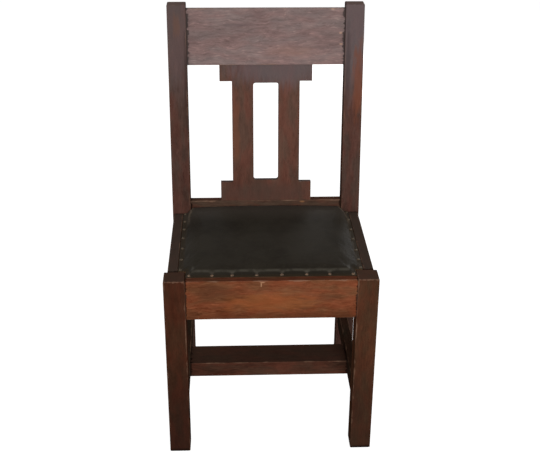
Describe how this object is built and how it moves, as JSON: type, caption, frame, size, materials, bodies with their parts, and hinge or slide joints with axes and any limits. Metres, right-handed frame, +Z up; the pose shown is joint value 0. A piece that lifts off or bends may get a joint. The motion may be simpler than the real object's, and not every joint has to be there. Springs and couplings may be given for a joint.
{
  "type": "side chair",
  "caption": "Mission side chair with a pierced back splat, H-shaped stretchers and a tacked leather seat.",
  "frame": {"origin": "on the floor under the middle of the chair's bounding box", "axes": "+Z up, front of the chair towards -Y, chair's right side seen from the front towards +X"},
  "size_m": [0.46, 0.4356, 0.937],
  "materials": {
    "stained_oak": "satin",
    "inner_wood": "matte",
    "seat_leather": "satin",
    "stuffing": "matte",
    "burlap": "matte",
    "jute_webbing": "matte",
    "tack_brass": "aged",
    "tack_steel": "blued",
    "screw_steel": "plain"
  },
  "bodies": {
    "root": {"back_splat": "stained_oak", "corner_block_front_left": "inner_wood", "corner_block_front_right": "inner_wood", "corner_block_rear_left": "inner_wood", "corner_block_rear_right": "inner_wood", "corner_block_screws": "screw_steel", "crest_rail": "stained_oak", "cross_stretcher": "stained_oak", "front_leg_left": "stained_oak", "front_leg_right": "stained_oak", "front_seat_rail": "stained_oak", "leather_tacks_front": "tack_brass", "leather_tacks_left": "tack_brass", "leather_tacks_rear": "tack_brass", "leather_tacks_right": "tack_brass", "rear_leg_left": "stained_oak", "rear_leg_right": "stained_oak", "rear_seat_rail": "stained_oak", "seat_burlap": "burlap", "seat_frame_front": "inner_wood", "seat_frame_left": "inner_wood", "seat_frame_rear": "inner_wood", "seat_frame_right": "inner_wood", "seat_frame_screws": "screw_steel", "seat_leather": "seat_leather", "seat_padding": "stuffing", "side_seat_rail_left": "stained_oak", "side_seat_rail_right": "stained_oak", "side_stretcher_left": "stained_oak", "side_stretcher_right": "stained_oak", "webbing_cross_1": "jute_webbing", "webbing_cross_2": "jute_webbing", "webbing_cross_3": "jute_webbing", "webbing_long_1": "jute_webbing", "webbing_long_2": "jute_webbing", "webbing_long_3": "jute_webbing", "webbing_tacks": "tack_steel"}
  },
  "joints": []
}
